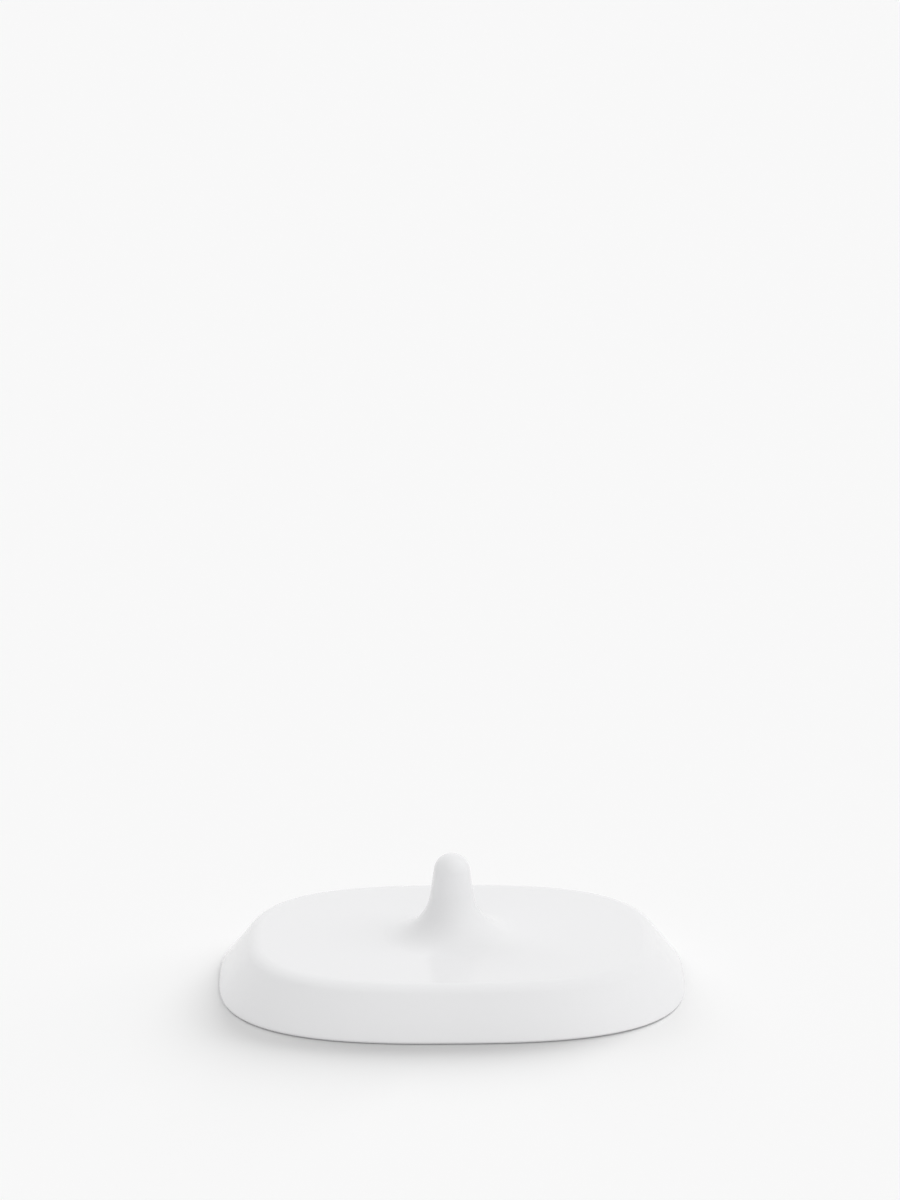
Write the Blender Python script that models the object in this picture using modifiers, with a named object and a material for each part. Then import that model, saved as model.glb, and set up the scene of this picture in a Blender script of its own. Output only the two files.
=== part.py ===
"""Soap dish: a low moulded body whose flat deck rises into one central pin.

The body is a thin-walled shell, open beneath. A plate closes it from below, held by four
screws, and each screw is covered by a silicone foot that lifts the rim just off the table.
Metres, +Z up, origin on the table under the pin.
"""

import bmesh
import bpy
import numpy as np
from math import cos, pi, radians, sin, tan
from mathutils import Matrix, Vector

# Body outline and section
BODY_WIDTH = 0.134
BODY_DEPTH = 0.100
DECK_HEIGHT = 0.0138
RIM_LIFT = 0.0006
SIDE_DRAFT = radians(38)
EDGE_RADIUS = 0.0052
RIM_RADIUS = 0.0005
WALL = 0.0028
RIM_LAND = 0.0036

# The outline is a superellipse, with one exponent at the rim and one at the deck
RIM_SQUARENESS = 2.8
DECK_SQUARENESS = 2.75

# Pin: a round tip on a slim cone that flares out into the deck
PIN_HEIGHT = 0.0243
PIN_TIP_RADIUS = 0.0052
PIN_DRAFT = radians(7.6)
FLARE_RISE = 0.013
FLARE_SPREAD = 0.0125
# Powers of the flare's curve: over 2 it runs into the deck and into the cone without a step in its bend
FLARE_FOOT_POWER = 2.2
FLARE_TOP_POWER = 2.3

# Clearance between pieces that seat on or in each other
FIT_GAP = 0.0003

# Closing plate
PLATE_THICKNESS = 0.0022
PLATE_RECESS = 0.0002
PLATE_EDGE_BREAK = 0.0003

# Feet, placed from the widest points of the rim inwards
FOOT_RADIUS = 0.007
FOOT_SEAT_DEPTH = 0.0012
FOOT_EDGE_RADIUS = 0.0005
FOOT_FROM_SIDE = 0.025
FOOT_FROM_FRONT = 0.023

# Screws, one above each foot, in a tower of the plate and a boss of the body
SCREW_RADIUS = 0.0015
SCREW_POINT_LENGTH = 0.0012
HEAD_RADIUS = 0.0028
HEAD_HEIGHT = 0.0015
HEAD_CROWN = 0.0005
HEAD_WEB = 0.0013
TOWER_WALL = 0.0018
TOWER_ROOT_SHARE = 0.33
BOSS_WALL = 0.0021
BOSS_SKIN = 0.0006

# Ribs under the deck
RIB_THICKNESS = 0.0016
RIB_DROP = 0.0030
RING_RIB_GAP = 0.0004

# How far one solid reaches into the wall it grows from, and cutters past a face
ROOT = 0.0012
OVERRUN = 0.001

# Facets
AROUND = 80
RIM_STEPS = 3
EDGE_STEPS = 5
DECK_STEPS = 3
FLARE_STEPS = 10
TIP_STEPS = 6
ROUND_STEPS = 32
SCREW_STEPS = 16
CROWN_STEPS = 4
FOOT_EDGE_STEPS = 3
CREASE = radians(32)

# Points nearer than this are one
WELD = 0.00001

# Heights and places that follow from the sizes above
plate_bottom = RIM_LIFT + PLATE_RECESS
plate_top = plate_bottom + PLATE_THICKNESS
ledge_height = plate_top + FIT_GAP
foot_ceiling = plate_bottom + FOOT_SEAT_DEPTH
foot_top = foot_ceiling - FIT_GAP
head_bottom = foot_top + FIT_GAP
head_top = head_bottom + HEAD_CROWN + HEAD_HEIGHT
head_seat = head_top + FIT_GAP
tower_top = head_seat + HEAD_WEB
boss_bottom = tower_top + FIT_GAP
deck_underside = DECK_HEIGHT - WALL
bore_top = deck_underside - BOSS_SKIN
screw_tip = bore_top - FIT_GAP
bore_radius = SCREW_RADIUS + FIT_GAP
head_pocket_radius = HEAD_RADIUS + FIT_GAP
boss_radius = bore_radius + BOSS_WALL
tower_radius = head_pocket_radius + TOWER_WALL
foot_x = BODY_WIDTH / 2 - FOOT_FROM_SIDE
foot_y = BODY_DEPTH / 2 - FOOT_FROM_FRONT
edge_centre_height = DECK_HEIGHT - EDGE_RADIUS

CORNERS = {
    "front_left": (-1, -1),
    "front_right": (1, -1),
    "back_left": (-1, 1),
    "back_right": (1, 1),
}


# Section of the body, as distance in from the widest outline against height

def side_inset(height):
    """Distance that the leaning side has come in at a height, from where the rim's edge runs out."""
    line_start = RIM_LIFT + RIM_RADIUS * (1 + sin(SIDE_DRAFT))
    return RIM_RADIUS * (1 - cos(SIDE_DRAFT)) + (height - line_start) * tan(SIDE_DRAFT)


def deck_inset():
    """Distance from the widest outline to the line where the deck turns flat."""
    tangent_height = edge_centre_height + EDGE_RADIUS * sin(SIDE_DRAFT)
    return side_inset(tangent_height) + EDGE_RADIUS * cos(SIDE_DRAFT)


def outline(angles, inset):
    """Polar radius of the superellipse that lies an inset inside the rim's outline."""
    share = min(inset / deck_inset(), 1)
    power = RIM_SQUARENESS + (DECK_SQUARENESS - RIM_SQUARENESS) * share
    half_width = BODY_WIDTH / 2 - inset
    half_depth = BODY_DEPTH / 2 - inset
    reach = (np.abs(np.cos(angles)) / half_width) ** power + (np.abs(np.sin(angles)) / half_depth) ** power
    return reach ** (-1 / power)


def side_section(depth):
    """Insets and heights up the side and over the edge, on a surface this deep in the wall."""
    if depth:
        points = [(side_inset(ledge_height) + depth / cos(SIDE_DRAFT), ledge_height)]
    else:
        points = [(RIM_RADIUS * (1 - cos(turn)), RIM_LIFT + RIM_RADIUS * (1 + sin(turn)))
                  for turn in np.linspace(-pi / 2, SIDE_DRAFT, RIM_STEPS + 1)]
    radius = EDGE_RADIUS - depth
    for turn in np.linspace(SIDE_DRAFT, pi / 2, EDGE_STEPS + 1):
        points.append((deck_inset() - radius * cos(turn), edge_centre_height + radius * sin(turn)))
    return points


# Section of the pin, as radius against height above the deck

def cone_radius(height):
    """Radius of the pin's cone, which touches the round tip and widens downwards."""
    touch_height = PIN_HEIGHT - PIN_TIP_RADIUS * (1 - sin(PIN_DRAFT))
    return PIN_TIP_RADIUS * cos(PIN_DRAFT) + (touch_height - height) * tan(PIN_DRAFT)


def pin_section():
    """Outer radii and heights of the pin, from the flare's foot up to the start of the round tip."""
    points = []
    for turn in np.linspace(0, pi / 2, FLARE_STEPS + 1):
        share = sin(turn)
        height = FLARE_RISE * (1 - (1 - share ** FLARE_FOOT_POWER) ** (1 / FLARE_TOP_POWER))
        points.append((cone_radius(height) + FLARE_SPREAD * (1 - share), height))
    cone_top = PIN_HEIGHT - PIN_TIP_RADIUS * (1 - sin(PIN_DRAFT))
    points.append((cone_radius(cone_top), cone_top))
    return points


def offset_section(points, depth):
    """The same section, moved square to itself into the wall, with its foot kept under the deck."""
    radii, heights = np.array(points).T
    along_radius = np.gradient(radii)
    along_height = np.gradient(heights)
    length = np.hypot(along_radius, along_height)
    moved_radii = radii - depth * along_height / length
    moved_heights = heights + depth * along_radius / length
    moved_radii[0] = radii[0]
    moved_heights[0] = -depth
    return list(zip(moved_radii, moved_heights))


def tip_section(depth):
    """Radii and heights over the round tip, without its pole."""
    radius = PIN_TIP_RADIUS - depth
    tip_centre = PIN_HEIGHT - PIN_TIP_RADIUS
    turns = np.linspace(PIN_DRAFT, pi / 2, TIP_STEPS + 1)[1:-1]
    return [(radius * cos(turn), tip_centre + radius * sin(turn)) for turn in turns]


def skin_rings(depth):
    """Rings of one skin of the shell, from the rim to the tip: radii round the axis, and a height."""
    angles = np.linspace(0, 2 * pi, AROUND, endpoint=False)
    rings = [(outline(angles, inset), height) for inset, height in side_section(depth)]
    pin = pin_section()
    if depth:
        pin = offset_section(pin, depth)
    deck_edge = outline(angles, deck_inset())
    for share in np.linspace(0, 1, DECK_STEPS + 1)[1:-1]:
        rings.append((deck_edge + (pin[0][0] - deck_edge) * share, DECK_HEIGHT - depth))
    for radius, height in pin + tip_section(depth):
        rings.append((np.full(AROUND, radius), DECK_HEIGHT + height))
    return rings


# Making objects

def material(name, color, roughness, metallic=0.0):
    made = bpy.data.materials.new(name)
    made.use_nodes = True
    shader = made.node_tree.nodes["Principled BSDF"]
    shader.inputs["Base Color"].default_value = (*color, 1)
    shader.inputs["Roughness"].default_value = roughness
    shader.inputs["Metallic"].default_value = metallic
    made.diffuse_color = (*color, 1)
    return made


def add_object(name, mesh, collection, surface=None):
    made = bpy.data.objects.new(name, mesh)
    collection.objects.link(made)
    if surface:
        mesh.materials.append(surface)
    return made


def add_cutter(name, mesh, collection):
    made = add_object(name, mesh, collection)
    made.display_type = "WIRE"
    made.hide_render = True
    return made


def cylinder(name, radius, low, high):
    """Closed upright cylinder round the mesh's own Z axis, between two heights."""
    mesh = bpy.data.meshes.new(name)
    form = bmesh.new()
    middle = Matrix.Translation((0, 0, (low + high) / 2))
    bmesh.ops.create_cone(form, cap_ends=True, segments=ROUND_STEPS, radius1=radius, radius2=radius,
                          depth=high - low, matrix=middle)
    form.to_mesh(mesh)
    form.free()
    return mesh


def bar(name, start, end, thickness, low, high):
    """Upright wall of one thickness that runs from one plan point to another."""
    mesh = bpy.data.meshes.new(name)
    form = bmesh.new()
    run = Vector(end) - Vector(start)
    middle = (Vector(start) + Vector(end)) / 2
    size = Matrix.Diagonal((run.length, thickness, high - low, 1))
    place = Matrix.Translation((middle.x, middle.y, (low + high) / 2))
    turn = Matrix.Rotation(np.arctan2(run.y, run.x), 4, "Z")
    bmesh.ops.create_cube(form, size=1, matrix=place @ turn @ size)
    form.to_mesh(mesh)
    form.free()
    return mesh


def turned(name, profile, steps, collection, surface):
    """Solid of revolution: a profile that runs down its outer side, with a Screw modifier."""
    mesh = bpy.data.meshes.new(name)
    points = [(radius, 0, height) for radius, height in profile]
    edges = [(i, i + 1) for i in range(len(points) - 1)]
    mesh.from_pydata(points, edges, [])
    made = add_object(name, mesh, collection, surface)
    screw = made.modifiers.new("turn", "SCREW")
    screw.steps = steps
    screw.render_steps = steps
    screw.use_merge_vertices = True
    screw.merge_threshold = WELD
    return made


def boolean(target, tool, operation):
    change = target.modifiers.new(f"{operation.lower()} {tool.name}", "BOOLEAN")
    change.operation = operation
    change.solver = "EXACT"
    change.object = tool


def smooth(made):
    made.data.shade_smooth()
    made.data.set_sharp_from_angle(angle=CREASE)


def body_mesh():
    """Loft of the shell: superellipse rings up the side and in over the deck, circles up the pin,
    the same again inside the wall, and a rebate in the rim that takes the plate."""
    angles = np.linspace(0, 2 * pi, AROUND, endpoint=False)
    form = bmesh.new()

    def add_ring(radii, height):
        xs = radii * np.cos(angles)
        ys = radii * np.sin(angles)
        return [form.verts.new((x, y, height)) for x, y in zip(xs, ys)]

    outer = [add_ring(radii, height) for radii, height in skin_rings(0)]
    inner = [add_ring(radii, height) for radii, height in skin_rings(WALL)]
    land = outline(angles, RIM_LAND)
    seat = add_ring(land, ledge_height)
    rim = add_ring(land, RIM_LIFT)
    paths = [outer, inner[::-1] + [seat, rim, outer[0]]]
    for path in paths:
        for low, high in zip(path, path[1:]):
            for i in range(AROUND):
                j = (i + 1) % AROUND
                form.faces.new((low[i], low[j], high[j], high[i]))
    outer_pole = form.verts.new((0, 0, DECK_HEIGHT + PIN_HEIGHT))
    inner_pole = form.verts.new((0, 0, DECK_HEIGHT + PIN_HEIGHT - WALL))
    for i in range(AROUND):
        j = (i + 1) % AROUND
        form.faces.new((outer[-1][i], outer[-1][j], outer_pole))
        form.faces.new((inner[-1][j], inner[-1][i], inner_pole))
    mesh = bpy.data.meshes.new("body_shell")
    form.to_mesh(mesh)
    form.free()
    return mesh


def plate_mesh(scratch):
    """Flat plate cut to the rebate's outline, as a filled and extruded curve made into a mesh."""
    angles = np.linspace(0, 2 * pi, AROUND, endpoint=False)
    radii = outline(angles, RIM_LAND + FIT_GAP)
    curve = bpy.data.curves.new("plate outline", "CURVE")
    curve.dimensions = "2D"
    curve.fill_mode = "BOTH"
    curve.extrude = PLATE_THICKNESS / 2 - PLATE_EDGE_BREAK
    curve.bevel_depth = PLATE_EDGE_BREAK
    curve.bevel_resolution = 0
    curve.offset = -PLATE_EDGE_BREAK
    spline = curve.splines.new("POLY")
    spline.points.add(AROUND - 1)
    spline.use_cyclic_u = True
    for point, radius, angle in zip(spline.points, radii, angles):
        point.co = (radius * cos(angle), radius * sin(angle), 0, 1)
    guide = add_object("plate outline", curve, scratch)
    bpy.context.view_layer.update()
    mesh = bpy.data.meshes.new_from_object(guide.evaluated_get(bpy.context.evaluated_depsgraph_get()))
    bpy.data.objects.remove(guide)
    form = bmesh.new()
    form.from_mesh(mesh)
    bmesh.ops.remove_doubles(form, verts=form.verts, dist=WELD)
    bmesh.ops.translate(form, verts=form.verts, vec=(0, 0, (plate_bottom + plate_top) / 2))
    form.to_mesh(mesh)
    form.free()
    return mesh


def foot_profile():
    """Flat silicone pad with a small radius round the edge that meets the table."""
    arc = [(FOOT_RADIUS - FOOT_EDGE_RADIUS * (1 - sin(turn)), FOOT_EDGE_RADIUS * (1 - cos(turn)))
           for turn in np.linspace(pi / 2, 0, FOOT_EDGE_STEPS + 1)]
    return [(0, foot_top), (FOOT_RADIUS, foot_top), *arc, (0, 0)]


def screw_profile():
    """Pan-head screw standing head down: point, shank, underside of the head, crowned head."""
    crown = [(HEAD_RADIUS * cos(turn), head_bottom + HEAD_CROWN * (1 - sin(turn)))
             for turn in np.linspace(0, pi / 2, CROWN_STEPS + 1)]
    return [(0, screw_tip), (SCREW_RADIUS, screw_tip - SCREW_POINT_LENGTH), (SCREW_RADIUS, head_top),
            (HEAD_RADIUS, head_top), *crown]


def add_ribs(body, scratch):
    """Bosses over the feet, a ring under the pin's foot, and the ribs that tie them together."""
    root = deck_underside + ROOT
    low = deck_underside - RIB_DROP
    hollow = cone_radius(0) + FLARE_SPREAD + RING_RIB_GAP
    ring = add_cutter("ring rib", cylinder("ring rib", hollow + RIB_THICKNESS, low, root), scratch)
    inside = cylinder("ring rib hollow", hollow, low - OVERRUN, root + OVERRUN)
    boolean(ring, add_cutter("ring rib hollow", inside, scratch), "DIFFERENCE")
    boolean(body, ring, "UNION")
    for corner, (side, front) in CORNERS.items():
        place = Vector((side * foot_x, front * foot_y, 0))
        boss_form = cylinder(f"boss {corner}", boss_radius, boss_bottom, root)
        boss = add_cutter(f"boss {corner}", boss_form, scratch)
        boss.location = place
        boolean(body, boss, "UNION")
        start = place.normalized() * (hollow + RIB_THICKNESS / 2)
        spoke = bar(f"spoke {corner}", start.xy, place.xy, RIB_THICKNESS, low, root)
        boolean(body, add_cutter(f"spoke {corner}", spoke, scratch), "UNION")
    for sign, name in ((-1, "front"), (1, "back")):
        run = bar(f"rib {name}", (-foot_x, sign * foot_y), (foot_x, sign * foot_y), RIB_THICKNESS, low, root)
        boolean(body, add_cutter(f"rib {name}", run, scratch), "UNION")
    for sign, name in ((-1, "left"), (1, "right")):
        run = bar(f"rib {name}", (sign * foot_x, -foot_y), (sign * foot_x, foot_y), RIB_THICKNESS, low, root)
        boolean(body, add_cutter(f"rib {name}", run, scratch), "UNION")
    for corner, (side, front) in CORNERS.items():
        bore = cylinder(f"screw bore {corner}", bore_radius, boss_bottom - OVERRUN, bore_top)
        cutter = add_cutter(f"screw bore {corner}", bore, scratch)
        cutter.location = (side * foot_x, front * foot_y, 0)
        boolean(body, cutter, "DIFFERENCE")


def add_foot_seats(plate, scratch):
    """A tower on the plate over each foot, with the foot's recess, the head's pocket and a hole."""
    for corner, (side, front) in CORNERS.items():
        place = (side * foot_x, front * foot_y, 0)
        tower_root = plate_top - PLATE_THICKNESS * TOWER_ROOT_SHARE
        tower_form = cylinder(f"tower {corner}", tower_radius, tower_root, tower_top)
        tower = add_cutter(f"tower {corner}", tower_form, scratch)
        tower.location = place
        boolean(plate, tower, "UNION")
        cuts = {
            "foot seat": (FOOT_RADIUS + FIT_GAP, plate_bottom - OVERRUN, foot_ceiling),
            "head pocket": (head_pocket_radius, plate_bottom - OVERRUN, head_seat),
            "screw hole": (bore_radius, plate_bottom - OVERRUN, tower_top + OVERRUN),
        }
        for cut, (radius, low, high) in cuts.items():
            cutter = add_cutter(f"{cut} {corner}", cylinder(f"{cut} {corner}", radius, low, high), scratch)
            cutter.location = place
            boolean(plate, cutter, "DIFFERENCE")


def build():
    for old in list(bpy.data.objects):
        bpy.data.objects.remove(old, do_unlink=True)
    parts = bpy.data.collections.new("soap_dish")
    scratch = bpy.data.collections.new("soap_dish_cutters")
    bpy.context.scene.collection.children.link(parts)
    bpy.context.scene.collection.children.link(scratch)

    white_gloss = material("white gloss moulding", (0.84, 0.85, 0.86), 0.12)
    white_matte = material("white matte moulding", (0.78, 0.79, 0.80), 0.45)
    silicone = material("clear grey silicone", (0.62, 0.63, 0.64), 0.55)
    stainless = material("stainless steel", (0.60, 0.60, 0.61), 0.30, metallic=1.0)

    body = add_object("body_shell", body_mesh(), parts, white_gloss)
    smooth(body)
    add_ribs(body, scratch)

    plate = add_object("base_plate", plate_mesh(scratch), parts, white_matte)
    smooth(plate)
    add_foot_seats(plate, scratch)

    for corner, (side, front) in CORNERS.items():
        place = (side * foot_x, front * foot_y, 0)
        foot = turned(f"foot_{corner}", foot_profile(), ROUND_STEPS, parts, silicone)
        foot.location = place
        screw = turned(f"screw_{corner}", screw_profile(), SCREW_STEPS, parts, stainless)
        screw.location = place


build()
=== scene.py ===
import math
import bpy
import numpy as np
from mathutils import Matrix, Vector


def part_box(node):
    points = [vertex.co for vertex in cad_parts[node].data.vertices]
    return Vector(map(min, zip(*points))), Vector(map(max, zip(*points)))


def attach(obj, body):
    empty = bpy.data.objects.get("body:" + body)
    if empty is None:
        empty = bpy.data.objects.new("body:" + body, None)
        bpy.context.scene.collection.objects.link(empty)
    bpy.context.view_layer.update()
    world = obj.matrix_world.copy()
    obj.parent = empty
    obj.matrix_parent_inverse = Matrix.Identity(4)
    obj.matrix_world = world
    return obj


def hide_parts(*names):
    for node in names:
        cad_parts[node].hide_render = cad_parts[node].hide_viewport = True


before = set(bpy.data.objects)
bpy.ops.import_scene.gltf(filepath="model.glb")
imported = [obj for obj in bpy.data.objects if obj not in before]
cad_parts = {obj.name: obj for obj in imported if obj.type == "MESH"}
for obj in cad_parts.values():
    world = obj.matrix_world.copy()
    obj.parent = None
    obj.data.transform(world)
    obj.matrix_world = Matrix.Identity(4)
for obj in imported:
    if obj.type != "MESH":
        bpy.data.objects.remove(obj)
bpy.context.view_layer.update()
print("frame loaded:", ", ".join(sorted(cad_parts)))


# Small helpers for materials and meshes

def linearColor(hexText):
    # sRGB hex to the linear values that the shaders work in, and full cover
    channels = [int(hexText[i:i + 2], 16) / 255 for i in (1, 3, 5)]
    linear = [c / 12.92 if c <= 0.04045 else ((c + 0.055) / 1.055) ** 2.4 for c in channels]
    return (*linear, 1.0)


def addNode(tree, kind, settings=None, links=None):
    # settings fill the node's own fields or its sockets, links join sockets of earlier nodes to it
    node = tree.nodes.new(kind)
    for key, value in (settings or {}).items():
        if hasattr(node, str(key)):
            setattr(node, key, value)
        else:
            node.inputs[key].default_value = value
    for key, source in (links or {}).items():
        tree.links.new(source, node.inputs[key])
    return node


def newMaterial(name):
    material = bpy.data.materials.new(name)
    material.use_nodes = True
    material.node_tree.nodes.clear()
    return material, material.node_tree


def shellFromRings(rings, poles=None):
    # Rings are rows of points of one count, each row closed on itself, carried along a section or a
    # path. Each row is joined to the next by four-sided faces. With poles each end row is closed by
    # a fan to its pole, and without them the last row is joined to the first.
    rows, around = rings.shape[:2]
    row, column = np.meshgrid(np.arange(rows - 1 if poles else rows), np.arange(around), indexing="ij")
    nextRow, nextColumn = (row + 1) % rows, (column + 1) % around
    quads = np.stack([row * around + column, row * around + nextColumn,
                      nextRow * around + nextColumn, nextRow * around + column], axis=-1).reshape(-1, 4)
    if not poles:
        return rings.reshape(-1, 3), quads, np.zeros((0, 3), int)
    first = np.arange(around)
    second = (first + 1) % around
    last = (rows - 1) * around
    startFan = np.stack([second, first, np.full(around, rows * around)], axis=-1)
    endFan = np.stack([last + first, last + second, np.full(around, rows * around + 1)], axis=-1)
    return np.vstack([rings.reshape(-1, 3), np.array(poles)]), quads, np.vstack([startFan, endFan])


def meshFromShells(name, shells, material):
    # Closed shells, each its points, quads and fans, side by side in one mesh
    starts = np.cumsum([0] + [len(points) for points, quads, fans in shells])
    faces = []
    for start, (points, quads, fans) in zip(starts, shells):
        faces += (quads + start).tolist() + (fans + start).tolist()
    mesh = bpy.data.meshes.new(name)
    mesh.from_pydata(np.vstack([shell[0] for shell in shells]).tolist(), [], faces)
    mesh.shade_smooth()
    mesh.materials.append(material)
    piece = bpy.data.objects.new(name, mesh)
    bpy.context.scene.collection.objects.link(piece)
    return piece


poleRing = 0.1        # mm, radius of the smallest ring round a pole


def placedRings(radii, heights, around, centre):
    # Each row of radii and heights in mm, carried round the upright axis through the centre
    angles = np.linspace(0, 2 * math.pi, around, endpoint=False)
    heights = np.broadcast_to(heights, np.broadcast_shapes(heights.shape, radii.shape, (1, around)))
    return np.stack([centre.x + radii * np.cos(angles) / 1000, centre.y + radii * np.sin(angles) / 1000,
                     heights / 1000], axis=-1)


# Camera, square on and a little above, with the dish in the lower half of the frame
cameraView = {
    "pictureSize": (900, 1200),       # pixels
    "dishPixel": (451.8, 977.6),      # where the point on the table under the pin lies
    "elevation": 22.0,                # degrees above the table
    "azimuth": -1.1,                  # degrees to the side
    "distance": 1.4,                  # metres
    "focalPixels": 4833,              # focal length in the picture's pixels
    "sensorWidth": 36.0,              # mm
    "clip": (0.05, 100.0),            # metres, nearest and farthest that it sees
}


def placeCamera(view):
    width, height = view["pictureSize"]
    elevation, azimuth = math.radians(view["elevation"]), math.radians(view["azimuth"])
    back = Vector((math.sin(azimuth) * math.cos(elevation), -math.cos(azimuth) * math.cos(elevation),
                   math.sin(elevation)))
    data = bpy.data.cameras.new("camera")
    data.sensor_width = view["sensorWidth"]
    data.lens = view["focalPixels"] * data.sensor_width / height
    data.clip_start, data.clip_end = view["clip"]
    camera = bpy.data.objects.new("camera", data)
    bpy.context.scene.collection.objects.link(camera)
    # looks at the dish first, then turns up and aside so that the dish lands on its pixel
    lookAtDish = (-back).to_track_quat("-Z", "Y").to_matrix().to_4x4()
    up = math.atan2(view["dishPixel"][1] - height / 2, view["focalPixels"])
    aside = math.atan2(view["dishPixel"][0] - width / 2, view["focalPixels"] / math.cos(up))
    turn = Matrix.Rotation(aside, 4, "Y") @ Matrix.Rotation(up, 4, "X")
    camera.matrix_world = Matrix.Translation(back * view["distance"]) @ lookAtDish @ turn
    bpy.context.scene.camera = camera


placeCamera(cameraView)
print("camera placed")


# Materials

bodyFinish = {
    "tint": "#EEEEEF",            # moulded white
    "tintCool": "#EDEDEE",        # a breath cooler, in clouds
    "cloudSize": 45.0,            # mm
    "rippleSize": 9.0,            # mm, slow flow ripple of a polished moulding
    "rippleDepth": 0.0015,        # mm
    "wipeSize": 0.8,              # mm, fine haze from wiping
    "roughness": (0.10, 0.15),
    "hazeRange": (0.3, 0.7),      # of the haze's noise, between which the roughness changes
    "ior": 1.49,
    "subsurface": 0.05,
    "subsurfaceRadius": 1.5,      # mm
}


def polishedAcrylic(values):
    # Injection-moulded white acrylic from a polished tool: deep even white, mirror-smooth, with a
    # slow ripple that bends reflections a little, and a faint haze where it has been wiped
    material, tree = newMaterial("polishedAcrylic")
    place = addNode(tree, "ShaderNodeTexCoord").outputs["Object"]
    clouds = addNode(tree, "ShaderNodeTexNoise", {"Scale": 1000 / values["cloudSize"], "Detail": 2.0},
                     {"Vector": place})
    tint = addNode(tree, "ShaderNodeMix", {"data_type": "RGBA", 6: linearColor(values["tint"]),
                                           7: linearColor(values["tintCool"])}, {0: clouds.outputs[0]})
    haze = addNode(tree, "ShaderNodeTexNoise", {"Scale": 1000 / values["wipeSize"], "Detail": 3.0},
                   {"Vector": place})
    low, high = values["roughness"]
    hazeLow, hazeHigh = values["hazeRange"]
    roughness = addNode(tree, "ShaderNodeMapRange",
                        {"From Min": hazeLow, "From Max": hazeHigh, "To Min": low, "To Max": high},
                        {"Value": haze.outputs[0]})
    ripple = addNode(tree, "ShaderNodeTexNoise", {"Scale": 1000 / values["rippleSize"], "Detail": 1.0},
                     {"Vector": place})
    bump = addNode(tree, "ShaderNodeBump", {"Strength": 1.0, "Distance": values["rippleDepth"] / 1000},
                   {"Height": ripple.outputs[0]})
    shader = addNode(tree, "ShaderNodeBsdfPrincipled",
                     {"IOR": values["ior"], "Subsurface Weight": values["subsurface"],
                      "Subsurface Scale": values["subsurfaceRadius"] / 1000,
                      "Subsurface Radius": (1.0, 1.0, 1.0)},
                     {"Base Color": tint.outputs[2], "Roughness": roughness.outputs[0],
                      "Normal": bump.outputs[0]})
    addNode(tree, "ShaderNodeOutputMaterial", None, {"Surface": shader.outputs[0]})
    return material


plateFinish = {
    "tint": "#E6E7E8",
    "grainSize": 0.35,            # mm, spark-eroded tool texture
    "grainDepth": 0.012,          # mm
    "roughness": (0.42, 0.55),
    "ior": 1.53,
}


def erodedPlastic(values):
    # White ABS from a spark-eroded tool: a fine even grain that scatters light, no gloss
    material, tree = newMaterial("erodedPlastic")
    place = addNode(tree, "ShaderNodeTexCoord").outputs["Object"]
    grain = addNode(tree, "ShaderNodeTexNoise", {"Scale": 1000 / values["grainSize"], "Detail": 2.0},
                    {"Vector": place})
    low, high = values["roughness"]
    roughness = addNode(tree, "ShaderNodeMapRange", {"To Min": low, "To Max": high},
                        {"Value": grain.outputs[0]})
    bump = addNode(tree, "ShaderNodeBump", {"Strength": 0.6, "Distance": values["grainDepth"] / 1000},
                   {"Height": grain.outputs[0]})
    shader = addNode(tree, "ShaderNodeBsdfPrincipled",
                     {"Base Color": linearColor(values["tint"]), "IOR": values["ior"]},
                     {"Roughness": roughness.outputs[0], "Normal": bump.outputs[0]})
    addNode(tree, "ShaderNodeOutputMaterial", None, {"Surface": shader.outputs[0]})
    return material


footFinish = {
    "tint": "#CFD1D1",
    "dustSize": 0.6,              # mm
    "roughness": (0.48, 0.62),
    "ior": 1.41,
    "subsurface": 0.35,
    "subsurfaceRadius": 1.0,      # mm
}


def castSilicone(values):
    # Moulded silicone rubber: milky, lets a little light in, dull with a trace of dust
    material, tree = newMaterial("castSilicone")
    place = addNode(tree, "ShaderNodeTexCoord").outputs["Object"]
    dust = addNode(tree, "ShaderNodeTexNoise", {"Scale": 1000 / values["dustSize"], "Detail": 3.0},
                   {"Vector": place})
    low, high = values["roughness"]
    roughness = addNode(tree, "ShaderNodeMapRange", {"To Min": low, "To Max": high},
                        {"Value": dust.outputs[0]})
    shader = addNode(tree, "ShaderNodeBsdfPrincipled",
                     {"Base Color": linearColor(values["tint"]), "IOR": values["ior"],
                      "Subsurface Weight": values["subsurface"],
                      "Subsurface Scale": values["subsurfaceRadius"] / 1000},
                     {"Roughness": roughness.outputs[0]})
    addNode(tree, "ShaderNodeOutputMaterial", None, {"Surface": shader.outputs[0]})
    return material


screwFinish = {
    "tint": "#C9CACC",
    "latheSize": 0.25,            # mm between turning marks
    "roughness": (0.22, 0.34),
}


def turnedStainless(values):
    # Stainless steel wire, headed and rolled: bright, with faint rings from the tool
    material, tree = newMaterial("turnedStainless")
    place = addNode(tree, "ShaderNodeTexCoord").outputs["Object"]
    marks = addNode(tree, "ShaderNodeTexNoise", {"Scale": 1000 / values["latheSize"], "Detail": 2.0},
                    {"Vector": place})
    low, high = values["roughness"]
    roughness = addNode(tree, "ShaderNodeMapRange", {"To Min": low, "To Max": high},
                        {"Value": marks.outputs[0]})
    shader = addNode(tree, "ShaderNodeBsdfPrincipled",
                     {"Base Color": linearColor(values["tint"]), "Metallic": 1.0},
                     {"Roughness": roughness.outputs[0]})
    addNode(tree, "ShaderNodeOutputMaterial", None, {"Surface": shader.outputs[0]})
    return material


finishes = {
    "body": polishedAcrylic(bodyFinish),
    "plate": erodedPlastic(plateFinish),
    "foot": castSilicone(footFinish),
    "screw": turnedStainless(screwFinish),
}
print("materials made:", len(finishes))


# Body: side, edge, deck and pin as one surface, and the inner skin of the wall

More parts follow.
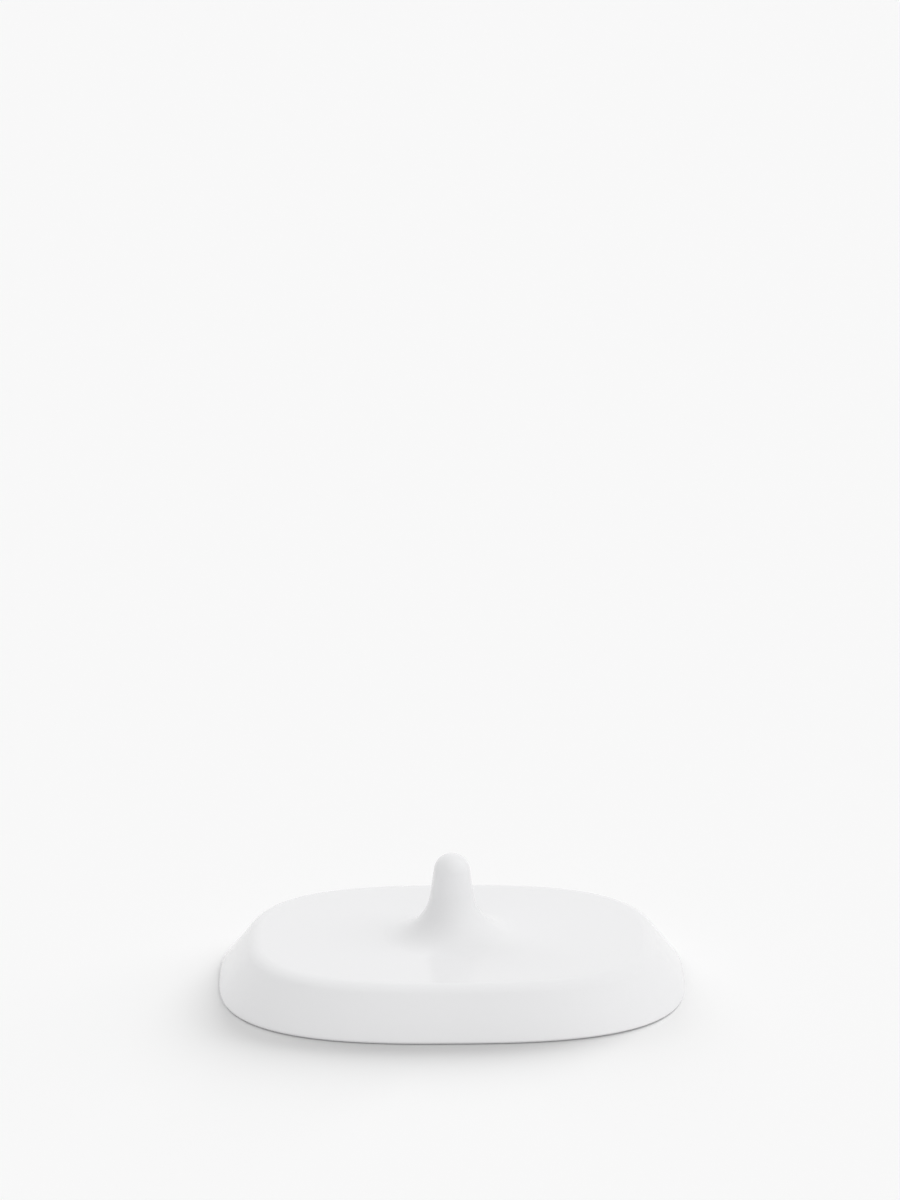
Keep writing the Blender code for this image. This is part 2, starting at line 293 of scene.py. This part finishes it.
bodyLow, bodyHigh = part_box("body_shell")
bodyForm = {
    "deckHeight": 13.8,           # mm above the table
    "rimLift": 0.15,              # mm, gap between rim and table
    "sideDraft": 36.85,           # degrees off upright
    "edgeRadius": 5.2,            # mm, where side turns into deck
    "rimRadius": 0.5,             # mm, round the lower edge
    "rimSquareness": 2.8,         # exponent of the outline at the rim, 2 is an ellipse
    "deckSquareness": 2.75,       # and at the deck's edge
    "wall": 2.8,                  # mm
    "rimLand": 3.6,               # mm, width of the flat under the rim
    "ledgeHeight": 3.3,           # mm above the table, where the closing plate seats
    "tipRadius": 5.2,             # mm
    "pinDraft": 7.6,              # degrees
    "flareRise": 13.0,            # mm above the deck
    "flareSpread": 12.5,          # mm
    "flareFootPower": 2.2,        # over 2, it runs into the deck without a step in its bend
    "flareTopPower": 2.3,         # the same where it runs into the cone
    "around": 360,                # points round each ring
    "rimSteps": 10,               # points over the round of the rim
    "outerSteps": 28,             # points over the edge's arc, on the outer skin
    "innerSteps": 12,             # and on the inner one
    "sharpAngle": 40,             # degrees between faces, over which an edge shows
}


def sideInset(form, height):
    # Distance in from the widest outline at a height: a straight line leaning at the draft,
    # which starts where the small round of the rim touches it
    draft = math.radians(form["sideDraft"])
    rim = form["rimRadius"]
    start = form["rimLift"] + rim * (1 + math.sin(draft))
    return rim * (1 - math.cos(draft)) + (height - start) * math.tan(draft)


def deckInset(form):
    # The edge's arc touches the side line at its lower end and is level at its upper end
    draft = math.radians(form["sideDraft"])
    radius = form["edgeRadius"]
    touch = form["deckHeight"] - radius * (1 - math.sin(draft))
    return sideInset(form, touch) + radius * math.cos(draft)


def outlineRadius(form, angles, inset):
    # Superellipse in polar form: (|cos|/a)^n + (|sin|/b)^n, to the power -1/n, where a and b are
    # the half sizes less the inset and n goes from the rim's exponent to the deck's with the inset
    share = np.clip(inset / deckInset(form), 0, 1)[:, None]
    power = form["rimSquareness"] + (form["deckSquareness"] - form["rimSquareness"]) * share
    halfWidth = ((bodyHigh.x - bodyLow.x) / 2 * 1000 - inset)[:, None]
    halfDepth = ((bodyHigh.y - bodyLow.y) / 2 * 1000 - inset)[:, None]
    reach = (np.abs(np.cos(angles)) / halfWidth) ** power + (np.abs(np.sin(angles)) / halfDepth) ** power
    return reach ** (-1 / power)


def sideSection(form, depth, steps):
    # Insets and heights up the side and over the edge's arc, on a skin this deep in the wall
    draft = math.radians(form["sideDraft"])
    radius = form["edgeRadius"] - depth
    if depth:
        ledge = form["ledgeHeight"]
        start = np.array([[sideInset(form, ledge) + depth / math.cos(draft), ledge]])
    else:
        rim = form["rimRadius"]
        turn = np.linspace(-math.pi / 2, draft, form["rimSteps"])
        start = np.stack([rim * (1 - np.cos(turn)), form["rimLift"] + rim * (1 + np.sin(turn))], axis=1)
    turn = np.linspace(draft, math.pi / 2, steps)
    arc = np.stack([deckInset(form) - radius * np.cos(turn),
                    form["deckHeight"] - form["edgeRadius"] + radius * np.sin(turn)], axis=1)
    line = start[-1] + (arc[0] - start[-1]) * np.linspace(0, 1, steps // 2)[1:-1, None]
    return np.vstack([start, line, arc])


def coneTop(form):
    # Height above the deck at which the pin's cone touches its round tip
    draft = math.radians(form["pinDraft"])
    return bodyHigh.z * 1000 - form["deckHeight"] - form["tipRadius"] * (1 - math.sin(draft))


def coneRadius(form, height):
    # From the radius at the touch the cone widens downwards by the tangent of its draft
    draft = math.radians(form["pinDraft"])
    return form["tipRadius"] * math.cos(draft) + (coneTop(form) - height) * math.tan(draft)


def pinSection(form, depth, steps):
    # Radii and heights above the deck: the cone plus a flare, of whose spread the share s is gone
    # at height rise * (1 - (1 - s^foot)^(1/top)), then the tip's own arc. An inner skin lies a
    # depth in, square to the section
    draft = math.radians(form["pinDraft"])
    tip, rise = form["tipRadius"], form["flareRise"]
    pinHeight = bodyHigh.z * 1000 - form["deckHeight"]
    coneSteps = steps // 4
    share = np.sin(np.linspace(0, math.pi / 2, steps))
    flareHeight = rise * (1 - (1 - share ** form["flareFootPower"]) ** (1 / form["flareTopPower"]))
    heights = np.concatenate([flareHeight, np.linspace(rise, coneTop(form), coneSteps)[1:]])
    spread = np.concatenate([form["flareSpread"] * (1 - share), np.zeros(coneSteps - 1)])
    radii = coneRadius(form, heights) + spread
    slope = np.stack([np.gradient(radii), np.gradient(heights)])
    slope /= np.hypot(*slope)
    inwardRadii, inwardHeights = radii - depth * slope[1], heights + depth * slope[0]
    inwardRadii[0], inwardHeights[0] = radii[0], -depth
    turn = np.linspace(draft, math.pi / 2, steps // 2)[1:-1]
    tipRadii = (tip - depth) * np.cos(turn)
    tipHeights = pinHeight - tip + (tip - depth) * np.sin(turn)
    return np.concatenate([inwardRadii, tipRadii]), np.concatenate([inwardHeights, tipHeights])


def skinRings(form, angles, depth, steps):
    # One skin of the body from rim to tip: outlines up the side, straight runs in over the deck
    # to the flare's foot, then circles up the pin
    side = sideSection(form, depth, steps)
    sideRadii = outlineRadius(form, angles, side[:, 0])
    pinRadii, pinHeights = pinSection(form, depth, steps * 2)
    share = np.linspace(0, 1, steps)[1:-1, None]
    deckRadii = sideRadii[-1] + (pinRadii[0] - sideRadii[-1]) * share
    radii = np.vstack([sideRadii, deckRadii, np.repeat(pinRadii[:, None], len(angles), axis=1)])
    heights = np.concatenate([side[:, 1], np.full(len(share), form["deckHeight"] - depth),
                              form["deckHeight"] + pinHeights])
    return radii, heights


stiffenerForm = {
    "bossRadius": 3.9,            # mm
    "boreRadius": 1.8,            # mm, clear of the screw
    "bossBottom": 5.9,            # mm above the table
    "boreEnd": 0.6,               # mm below the deck's underside
    "thickness": 1.6,             # mm, of ring and ribs
    "drop": 3.0,                  # mm below the deck's underside
    "ringGap": 0.4,               # mm from the flare's foot to the ring
    "root": 1.2,                  # mm into the deck
    "barLift": 0.05,              # mm, how much shallower the ribs are than the ring they run into
    "edgeRadius": 0.3,            # mm
    "around": 64,                 # points round each boss
    "edgeSteps": 5,               # points over each rounded edge
    "barSteps": 12,               # points along each rib
    "ringSteps": 180,             # points round the ring
}


def bossShell(form, centre, underside):
    # Rows run down the bore, out under the boss, up its side and in over its root in the deck
    bore, radius, edge = form["boreRadius"], form["bossRadius"], form["edgeRadius"]
    bottom, boreTop, root = form["bossBottom"], underside - form["boreEnd"], underside + form["root"]
    radii = np.array([poleRing, bore, bore, bore + edge, radius - edge, radius, radius, poleRing])
    heights = np.array([boreTop, boreTop, bottom + edge, bottom, bottom, bottom + edge, root, root])
    rings = placedRings(radii[:, None], heights[:, None], form["around"], centre)
    return shellFromRings(rings, [(centre.x, centre.y, boreTop / 1000), (centre.x, centre.y, root / 1000)])


def ribShell(form, path, underside, closed=False):
    # A bar with rounded lower edges: its section, in mm across and up, is carried along the path.
    # Across is the path's own direction turned a quarter
    half, edge = form["thickness"] / 2, form["edgeRadius"]
    low, high = underside - form["drop"], underside + form["root"]
    turn = np.linspace(0, math.pi / 2, form["edgeSteps"])
    across = np.concatenate([edge - half - edge * np.cos(turn), half - edge + edge * np.sin(turn),
                             [half, -half]])
    up = np.concatenate([low + edge - edge * np.sin(turn), low + edge - edge * np.cos(turn),
                         [high, high]])
    if closed:
        along = np.roll(path, -1, axis=0) - np.roll(path, 1, axis=0)
    else:
        along = (path[-1] - path[0]) * np.ones(path.shape)
    along = along / np.linalg.norm(along, axis=1, keepdims=True)
    sideways = np.stack([-along[:, 1], along[:, 0]], axis=1)
    plan = path[:, None] + sideways[:, None] * across[:, None]
    rings = np.concatenate([plan, np.broadcast_to(up[:, None], plan.shape[:2] + (1,))], axis=-1) / 1000
    if closed:
        return shellFromRings(rings)
    middle = (low + high) / 2
    return shellFromRings(rings, [(*(end / 1000), middle / 1000) for end in (path[0], path[-1])])


def stiffenerShells(form, bodyValues):
    # A boss over each screw, a ring round the pin's hollow, a rib from the ring to each boss and
    # one from boss to boss along each side
    underside = bodyValues["deckHeight"] - bodyValues["wall"]
    corners = {(end, side): sum(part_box(f"screw_{end}_{side}"), Vector()) / 2
               for end in ("front", "back") for side in ("left", "right")}
    shells = [bossShell(form, centre, underside) for centre in corners.values()]
    wallMiddle = (form["boreRadius"] + form["bossRadius"]) / 2
    flareFoot = coneRadius(bodyValues, 0) + bodyValues["flareSpread"]
    ringMiddle = flareFoot + form["ringGap"] + form["thickness"] / 2
    turn = np.linspace(0, 2 * math.pi, form["ringSteps"], endpoint=False)
    ringPath = ringMiddle * np.stack([np.cos(turn), np.sin(turn)], axis=1)
    shells.append(ribShell(form, ringPath, underside, closed=True))

    def bar(start, end, startGap, endGap):
        # A straight rib from place to place in plan, less a gap at each end
        direction = (end - start) / np.linalg.norm(end - start)
        path = np.linspace(start + direction * startGap, end - direction * endGap, form["barSteps"])
        return ribShell(form, path, underside + form["barLift"])

    places = {corner: np.array(centre.xy) * 1000 for corner, centre in corners.items()}
    shells += [bar(np.zeros(2), place, ringMiddle, wallMiddle) for place in places.values()]
    for start, end in ((("front", "left"), ("front", "right")), (("back", "left"), ("back", "right")),
                       (("front", "left"), ("back", "left")), (("front", "right"), ("back", "right"))):
        shells.append(bar(places[start], places[end], wallMiddle, wallMiddle))
    return shells


def buildBody(form):
    # Rows run down the inner skin from the pin, over the ledge and the flat of the rim, and up the
    # outer skin
    angles = np.linspace(0, 2 * math.pi, form["around"], endpoint=False)
    outerRadii, outerHeights = skinRings(form, angles, 0, form["outerSteps"])
    innerRadii, innerHeights = skinRings(form, angles, form["wall"], form["innerSteps"])
    land = outlineRadius(form, angles, np.array([form["rimLand"]]))
    radii = np.vstack([innerRadii[::-1], land, land, outerRadii])
    heights = np.concatenate([innerHeights[::-1], [form["ledgeHeight"], form["rimLift"]], outerHeights])
    rings = np.stack([radii * np.cos(angles), radii * np.sin(angles),
                      np.repeat(heights[:, None], len(angles), axis=1)], axis=-1) / 1000
    poles = [(0, 0, bodyHigh.z - form["wall"] / 1000), (0, 0, bodyHigh.z)]
    shells = [shellFromRings(rings, poles)] + stiffenerShells(stiffenerForm, form)
    body = meshFromShells("bodyShell", shells, finishes["body"])
    body.data.set_sharp_from_angle(angle=math.radians(form["sharpAngle"]))
    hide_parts("body_shell")
    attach(body, "root")
    return body


body = buildBody(bodyForm)
print("body built:", len(body.data.polygons), "faces")


# Feet: silicone pads with fine grip rings on the side that meets the table

footForm = {
    "edgeRadius": 0.5,            # mm, round the edge on the table
    "topRadius": 0.15,            # mm, round the edge in the recess
    "gripStart": 1.2,             # mm from the middle
    "gripRings": 4,
    "gripPitch": 1.2,             # mm from ring to ring
    "gripDepth": 0.18,            # mm
    "around": 96,                 # points round each ring
    "soleSteps": 89,              # rings from the middle of the sole to its edge
    "edgeSteps": 9,               # rings over each edge
    "topSteps": 11,               # rings over the top
}


def buildFoot(form, node, name):
    # From the middle of the sole outwards, up the edge and in over the top. The sole is flat but
    # for the grip: depth times half of one minus the cosine of the turn within each ring
    low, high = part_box(node)
    radius, top = (high.x - low.x) / 2 * 1000, high.z * 1000
    edge, topEdge = form["edgeRadius"], form["topRadius"]
    sole = np.linspace(poleRing, radius - edge, form["soleSteps"], endpoint=False)
    ring = (sole - form["gripStart"]) / form["gripPitch"]
    inGrip = (ring > 0) & (ring < form["gripRings"])
    soleHeights = inGrip * form["gripDepth"] * (1 - np.cos(2 * math.pi * ring)) / 2
    turn = np.linspace(0, math.pi / 2, form["edgeSteps"])
    radii = np.concatenate([sole, radius - edge + edge * np.sin(turn),
                            radius - topEdge + topEdge * np.cos(turn),
                            np.linspace(radius - topEdge, poleRing, form["topSteps"] + 1)[1:]])
    heights = np.concatenate([soleHeights, edge - edge * np.cos(turn),
                              top - topEdge + topEdge * np.sin(turn), np.full(form["topSteps"], top)])
    centre = (low + high) / 2
    rings = placedRings(radii[:, None], heights[:, None], form["around"], centre)
    poles = [(centre.x, centre.y, 0), (centre.x, centre.y, high.z)]
    foot = meshFromShells(name, [shellFromRings(rings, poles)], finishes["foot"])
    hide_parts(node)
    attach(foot, "root")


# Screws: pan head with a cross recess, and a thread-forming shank for plastic

screwForm = {
    "crown": 0.5,                 # mm, how far the head bulges
    "headHeight": 1.5,            # mm, upright part of the head
    "edgeBreak": 0.1,             # mm, off the head's edge and in the corner under it
    "shankRadius": 1.5,           # mm over the thread
    "coreRadius": 1.12,           # mm
    "pitch": 1.1,                 # mm from crest to crest
    "flankShare": 0.45,           # of half a pitch, that a flank takes up
    "threadStart": 0.3,           # mm above the head
    "threadFade": 0.5,            # mm over which the thread rises to its height
    "pointLength": 1.2,           # mm
    "pointRing": 0.02,            # mm below the point, where the last ring lies
    "recessReach": 1.55,          # mm from the middle to the end of an arm
    "recessWidth": 0.62,          # mm
    "recessDepth": 0.95,          # mm
    "recessSlope": 0.16,          # mm over which its walls fall away
    "around": 96,                 # points round each ring
    "crownStart": 0.02,           # of the head's radius, the smallest ring
    "crownSteps": 34,             # rings over the crown
    "shankSteps": 84,             # rings up the shank
    "sharpAngle": 35,             # degrees between faces, over which an edge shows
}


def buildScrew(form, node, name):
    # It stands head down. Rows run from the middle of the head out, up its side, in under it and
    # up the shank. The recess is the union of two arms, each a product of two soft steps. The
    # thread's crest is where the height in pitches, less the turn round the axis, is halfway
    # between two whole numbers, and its flanks fall away evenly to both sides
    low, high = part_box(node)
    headRadius, bottom, tip = (high.x - low.x) / 2 * 1000, low.z * 1000, high.z * 1000
    headTop = bottom + form["crown"] + form["headHeight"]
    angles = np.linspace(0, 2 * math.pi, form["around"], endpoint=False)

    crown = np.linspace(form["crownStart"], 1, form["crownSteps"])[:, None] * headRadius
    across, along = crown * np.cos(angles), crown * np.sin(angles)

    def arm(far, side):
        # One arm of the cross: full within its reach and width, falling away over the slope
        reach = np.clip((form["recessReach"] - np.abs(far)) / form["recessSlope"], 0, 1)
        width = np.clip((form["recessWidth"] / 2 - np.abs(side)) / form["recessSlope"] + 0.5, 0, 1)
        return reach * width

    recess = form["recessDepth"] * np.maximum(arm(across, along), arm(along, across))
    crownHeights = bottom + form["crown"] * (1 - np.sqrt(1 - (crown / headRadius) ** 2)) + recess
    edge = form["edgeBreak"]
    side = np.array([[headRadius, bottom + form["crown"] + 2 * edge], [headRadius, headTop - edge],
                     [headRadius - edge, headTop], [form["shankRadius"] + 4 * edge, headTop],
                     [form["coreRadius"] + edge, headTop], [form["coreRadius"], headTop + edge]])
    shankHeights = np.linspace(headTop + 2 * edge, tip - form["pointRing"], form["shankSteps"])[:, None]
    turn = (shankHeights / form["pitch"] - angles / (2 * math.pi)) % 1
    crest = np.clip(1 - np.abs(2 * turn - 1) / form["flankShare"], 0, 1)
    fade = np.clip((shankHeights - headTop - form["threadStart"]) / form["threadFade"], 0, 1)
    taper = np.clip((tip - shankHeights) / form["pointLength"], 0, 1)
    shank = (form["coreRadius"] + (form["shankRadius"] - form["coreRadius"]) * crest * fade) * taper

    whole = (1, form["around"])
    radii = np.vstack([np.broadcast_to(crown, crownHeights.shape), side[:, :1] * np.ones(whole), shank])
    heights = np.vstack([crownHeights, side[:, 1:] * np.ones(whole), shankHeights * np.ones(whole)])
    centre = (low + high) / 2
    rings = placedRings(radii, heights, form["around"], centre)
    poles = [(centre.x, centre.y, (bottom + form["recessDepth"]) / 1000), (centre.x, centre.y, high.z)]
    screw = meshFromShells(name, [shellFromRings(rings, poles)], finishes["screw"])
    screw.data.set_sharp_from_angle(angle=math.radians(form["sharpAngle"]))
    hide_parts(node)
    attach(screw, "root")


for end in ("front", "back"):
    for side in ("left", "right"):
        buildFoot(footForm, f"foot_{end}_{side}", f"{end}{side.capitalize()}Foot")
        buildScrew(screwForm, f"screw_{end}_{side}", f"{end}{side.capitalize()}Screw")
print("feet and screws built")


# The plate keeps its CAD shape and takes its finish

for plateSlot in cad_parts["base_plate"].material_slots:
    plateSlot.material = finishes["plate"]
print("plate finished")


# Floor, lights and background

studio = {
    "floorTint": "#F9F9F9",
    "floorSize": 12.0,            # metres
    "ambient": 0.54,              # light from all round, as a share of white
    "background": 0.939,          # what is seen, mirrored or seen through glass beyond the floor
    # Lamps: azimuth from the back round to the right, elevation and spread are in degrees, and
    # strength is the share of white that a surface square to the lamp gets from it
    "dishLamps": {
        "rightPanel": {"azimuth": 90.0, "elevation": 55.0, "spread": 60.0, "strength": 0.344},
        "backPanel": {"azimuth": 330.0, "elevation": 30.0, "spread": 60.0, "strength": 0.23},
        "frontPanel": {"azimuth": 180.0, "elevation": 30.0, "spread": 60.0, "strength": 0.118},
    },
    "floorLamps": {
        "shadowLamp": {"azimuth": 30.0, "elevation": 25.0, "spread": 30.0, "strength": 0.681},
        "leftLamp": {"azimuth": 330.0, "elevation": 25.0, "spread": 30.0, "strength": 0.24},
        "rightLamp": {"azimuth": 60.0, "elevation": 18.0, "spread": 30.0, "strength": 0.206},
    },
}


def addLamp(name, values, receivers):
    # A far lamp that leaves no highlight of its own and lights only its receivers
    azimuth, elevation = math.radians(values["azimuth"]), math.radians(values["elevation"])
    toLamp = Vector((math.sin(azimuth) * math.cos(elevation), math.cos(azimuth) * math.cos(elevation),
                     math.sin(elevation)))
    data = bpy.data.lights.new(name, "SUN")
    data.energy = values["strength"] * math.pi
    data.angle = math.radians(values["spread"])
    lamp = bpy.data.objects.new(name, data)
    lamp.rotation_euler = toLamp.to_track_quat("Z", "Y").to_euler()
    lamp.visible_glossy = False
    lamp.light_linking.receiver_collection = receivers
    bpy.context.scene.collection.objects.link(lamp)


def buildStudio(values):
    # A white paper floor, a world that looks the same as it beyond its edge, and the two groups of
    # lamps
    half = values["floorSize"] / 2
    mesh = bpy.data.meshes.new("floor")
    corners = [(-half, -half, 0), (half, -half, 0), (half, half, 0), (-half, half, 0)]
    mesh.from_pydata(corners, [], [(0, 1, 2, 3)])
    material, tree = newMaterial("paperFloor")
    shader = addNode(tree, "ShaderNodeBsdfDiffuse", {"Color": linearColor(values["floorTint"])})
    addNode(tree, "ShaderNodeOutputMaterial", None, {"Surface": shader.outputs[0]})
    mesh.materials.append(material)
    floor = bpy.data.objects.new("floor", mesh)
    bpy.context.scene.collection.objects.link(floor)
    world = bpy.data.worlds.new("studio")
    world.use_nodes = True
    tree = world.node_tree
    tree.nodes.clear()
    rays = addNode(tree, "ShaderNodeLightPath")
    seen = rays.outputs["Is Camera Ray"]
    for kind in ("Is Glossy Ray", "Is Transmission Ray"):
        either = addNode(tree, "ShaderNodeMath", {"operation": "MAXIMUM"},
                         {0: seen, 1: rays.outputs[kind]})
        seen = either.outputs[0]
    strength = addNode(tree, "ShaderNodeMapRange",
                       {"To Min": values["ambient"], "To Max": values["background"]}, {"Value": seen})
    light = addNode(tree, "ShaderNodeBackground", {"Color": (1, 1, 1, 1)}, {"Strength": strength.outputs[0]})
    addNode(tree, "ShaderNodeOutputWorld", None, {"Surface": light.outputs[0]})
    bpy.context.scene.world = world
    # Both groups name the floor alone: one lights it, the other lights all but it
    for group, state in (("floorLamps", "INCLUDE"), ("dishLamps", "EXCLUDE")):
        receivers = bpy.data.collections.new(group)
        receivers.objects.link(floor)
        receivers.collection_objects[0].light_linking.link_state = state
        for name, lampValues in values[group].items():
            addLamp(name, lampValues, receivers)
    bpy.context.scene.view_settings.view_transform = "Standard"


buildStudio(studio)
print("studio lit")
